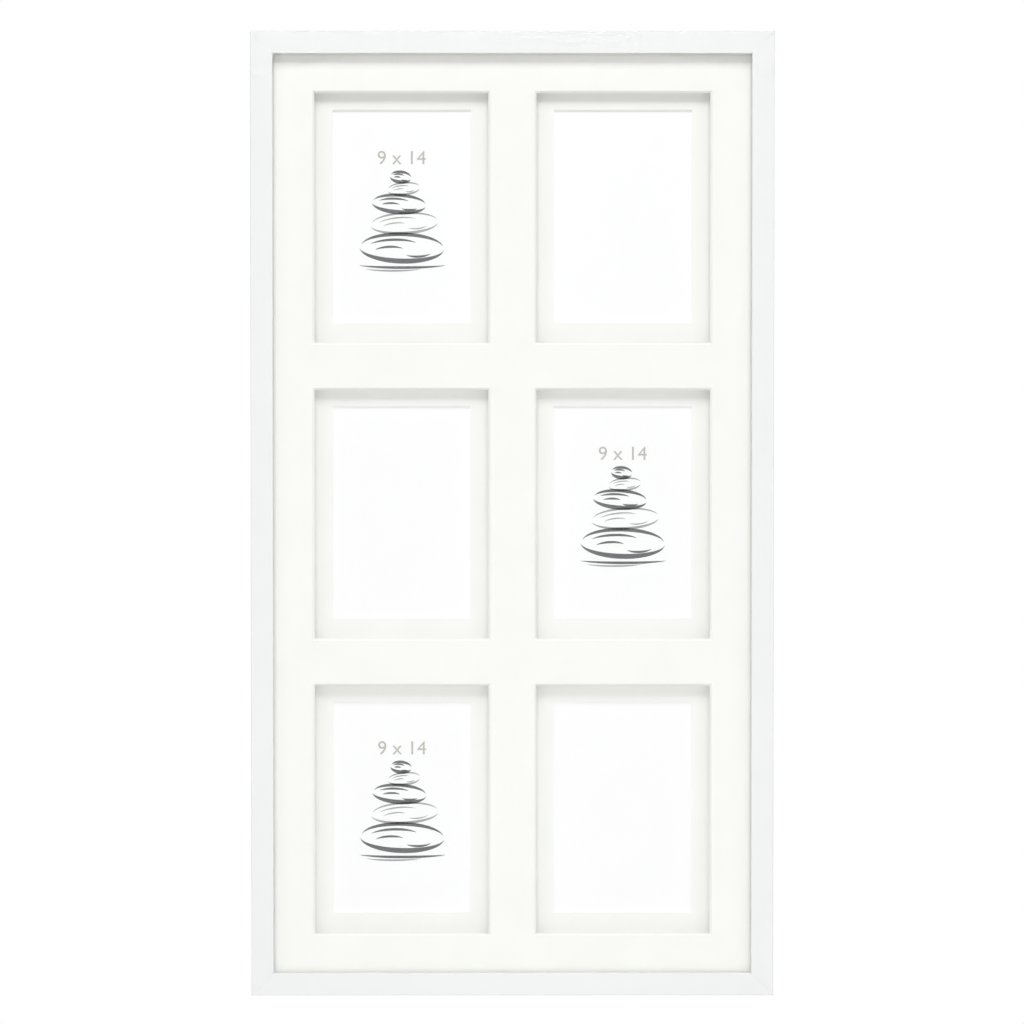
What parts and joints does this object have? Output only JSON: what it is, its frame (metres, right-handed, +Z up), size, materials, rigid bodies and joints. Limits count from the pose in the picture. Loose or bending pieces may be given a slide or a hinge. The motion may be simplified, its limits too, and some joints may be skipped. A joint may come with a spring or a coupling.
{
  "type": "collage photo frame",
  "caption": "Portrait wall frame with mitred white rails, front glass, a raised mat and a back mat with rows of windows for prints, turn buttons behind and ring hangers.",
  "frame": {"origin": "on the wall plane that the bumpers rest on, at the middle of the frame's outline", "axes": "+X to the right as seen from the front, +Y out of the back towards the wall, +Z up; the glass faces -Y"},
  "size_m": [0.34, 0.0255, 0.627],
  "materials": {
    "rail_foil": "white foil on fibreboard, satin; the rabbet and back are bare fibreboard",
    "clear_glass": "clear picture glass",
    "mat_board": "matt warm white mat board with a white bevel",
    "back_mat_board": "matt warm white mat board",
    "spacer_foam": "white foam board strips",
    "insert_paper": "bright white card, half of them printed with a line drawing",
    "corrugated_card": "brown corrugated card",
    "hardboard": "brown hardboard, mesh-textured back",
    "button_steel": "zinc-plated pressed steel",
    "hanger_steel": "nickel-plated steel",
    "fastener_steel": "zinc-plated steel",
    "bumper_rubber": "dark soft rubber"
  },
  "bodies": {
    "frame": {"rail_top": "rail_foil", "rail_bottom": "rail_foil", "rail_right": "rail_foil", "rail_left": "rail_foil", "corner_nails": "fastener_steel", "front_glass": "clear_glass", "raised_mat": "mat_board", "spacer_left": "spacer_foam", "spacer_right": "spacer_foam", "spacer_bottom": "spacer_foam", "spacer_top": "spacer_foam", "spacer_middle": "spacer_foam", "spacer_bar_lower_left": "spacer_foam", "spacer_bar_upper_left": "spacer_foam", "spacer_bar_lower_right": "spacer_foam", "spacer_bar_upper_right": "spacer_foam", "back_mat": "back_mat_board", "photo_insert_bottom_left": "insert_paper", "photo_insert_bottom_right": "insert_paper", "photo_insert_middle_left": "insert_paper", "photo_insert_middle_right": "insert_paper", "photo_insert_top_left": "insert_paper", "photo_insert_top_right": "insert_paper", "filler_pad": "corrugated_card", "back_board": "hardboard", "button_screws": "fastener_steel", "hanger_plate_left": "hanger_steel", "hanger_plate_right": "hanger_steel", "hanger_rivets": "fastener_steel", "wall_bumper_left": "bumper_rubber", "wall_bumper_right": "bumper_rubber"},
    "turn_button_top": {"turn_button_top": "button_steel"},
    "turn_button_bottom": {"turn_button_bottom": "button_steel"},
    "turn_button_upper_left": {"turn_button_upper_left": "button_steel"},
    "turn_button_lower_left": {"turn_button_lower_left": "button_steel"},
    "turn_button_upper_right": {"turn_button_upper_right": "button_steel"},
    "turn_button_lower_right": {"turn_button_lower_right": "button_steel"},
    "hanger_ring_left": {"hanger_ring_left": "hanger_steel"},
    "hanger_ring_right": {"hanger_ring_right": "hanger_steel"}
  },
  "joints": [
    {"name": "turn_top", "type": "hinge", "parent": "frame", "child": "turn_button_top", "pos_m": [0, -0.0033, 0.30875], "axis": [0, 1, 0], "continuous": true},
    {"name": "turn_bottom", "type": "hinge", "parent": "frame", "child": "turn_button_bottom", "pos_m": [0, -0.0033, -0.30875], "axis": [0, 1, 0], "continuous": true},
    {"name": "turn_upper_left", "type": "hinge", "parent": "frame", "child": "turn_button_upper_left", "pos_m": [-0.16525, -0.0033, 0.15], "axis": [0, 1, 0], "continuous": true},
    {"name": "turn_lower_left", "type": "hinge", "parent": "frame", "child": "turn_button_lower_left", "pos_m": [-0.16525, -0.0033, -0.15], "axis": [0, 1, 0], "continuous": true},
    {"name": "turn_upper_right", "type": "hinge", "parent": "frame", "child": "turn_button_upper_right", "pos_m": [0.16525, -0.0033, 0.15], "axis": [0, 1, 0], "continuous": true},
    {"name": "turn_lower_right", "type": "hinge", "parent": "frame", "child": "turn_button_lower_right", "pos_m": [0.16525, -0.0033, -0.15], "axis": [0, 1, 0], "continuous": true},
    {"name": "swing_left", "type": "hinge", "parent": "frame", "child": "hanger_ring_left", "pos_m": [-0.1, -0.00235, 0.2805], "axis": [-1, 0, 0], "range_deg": [0, 172]},
    {"name": "swing_right", "type": "hinge", "parent": "frame", "child": "hanger_ring_right", "pos_m": [0.1, -0.00235, 0.2805], "axis": [-1, 0, 0], "range_deg": [0, 172]}
  ]
}
